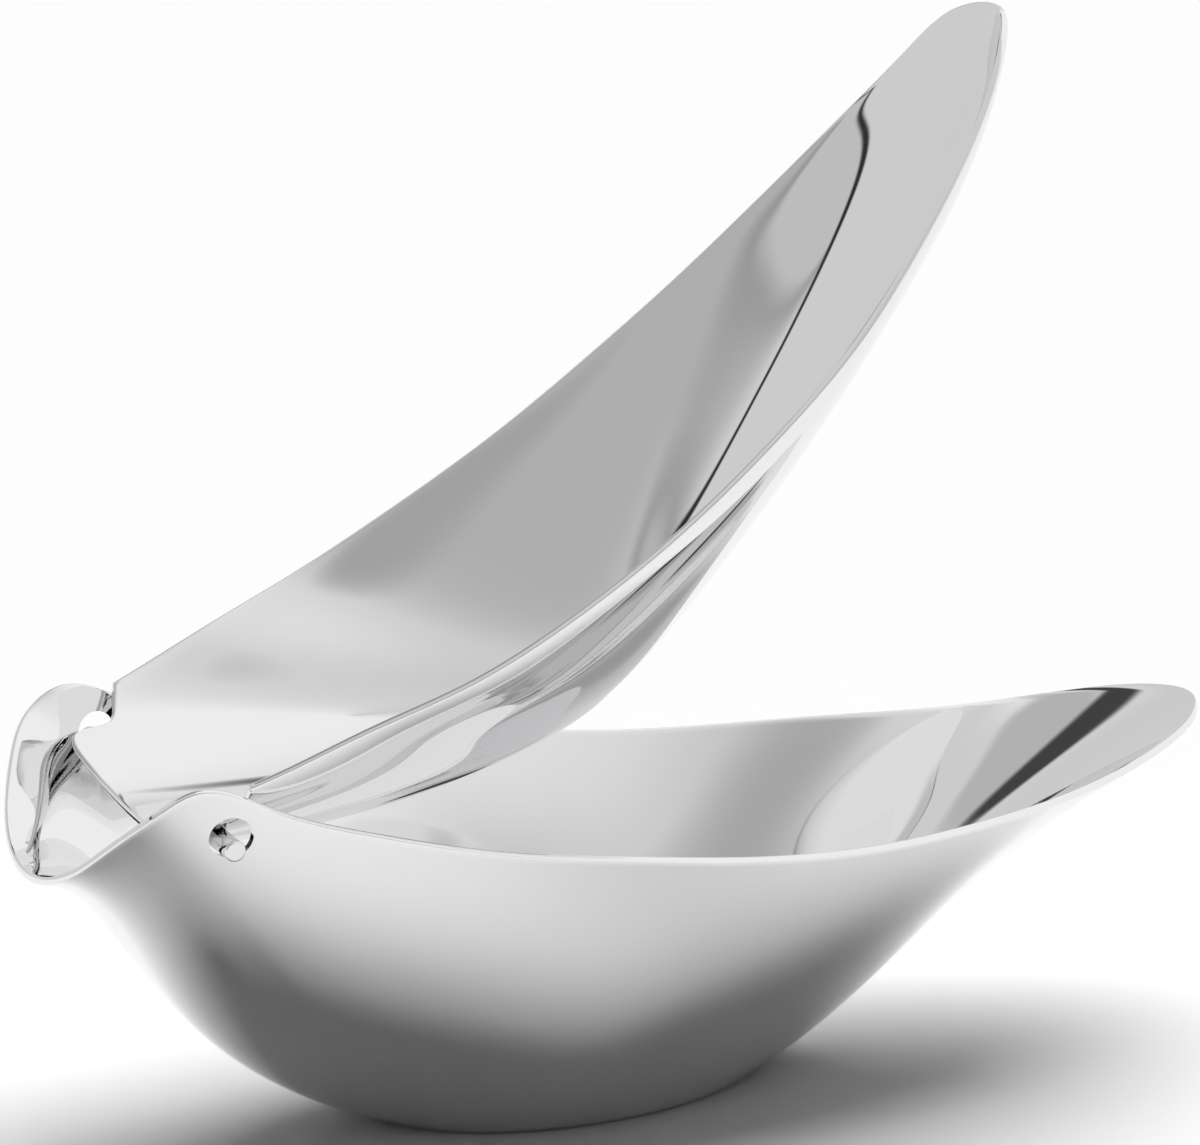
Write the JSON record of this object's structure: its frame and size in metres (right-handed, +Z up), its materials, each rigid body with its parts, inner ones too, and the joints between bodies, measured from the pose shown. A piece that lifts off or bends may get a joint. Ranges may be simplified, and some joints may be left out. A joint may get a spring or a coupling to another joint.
{
  "type": "lemon squeezer",
  "caption": "Hinged lemon squeezer of polished steel sheet: a boat-shaped bowl with a pouring spout, and a press shell that swings down into it on welded studs.",
  "frame": {"origin": "centre of the bowl's flat oval base, on the surface it stands on", "axes": "+X towards the pouring spout, +Y to the squeezer's left, +Z up; the hinge axis lies along Y"},
  "size_m": [0.1648, 0.0626, 0.1366],
  "materials": {
    "bowl_steel": "mirror-polished stainless steel sheet",
    "press_steel": "mirror-polished stainless steel sheet",
    "stud_steel": "bright turned stainless steel"
  },
  "bodies": {
    "bowl": {"lower_shell": "bowl_steel"},
    "press": {"upper_shell": "press_steel", "pivot_stud_left": "stud_steel", "pivot_stud_right": "stud_steel"}
  },
  "joints": [
    {"name": "press_hinge", "type": "hinge", "parent": "bowl", "child": "press", "pos_m": [-0.0539, 0, 0.0469], "axis": [0, -1, 0], "range_deg": [-39, 20]}
  ]
}
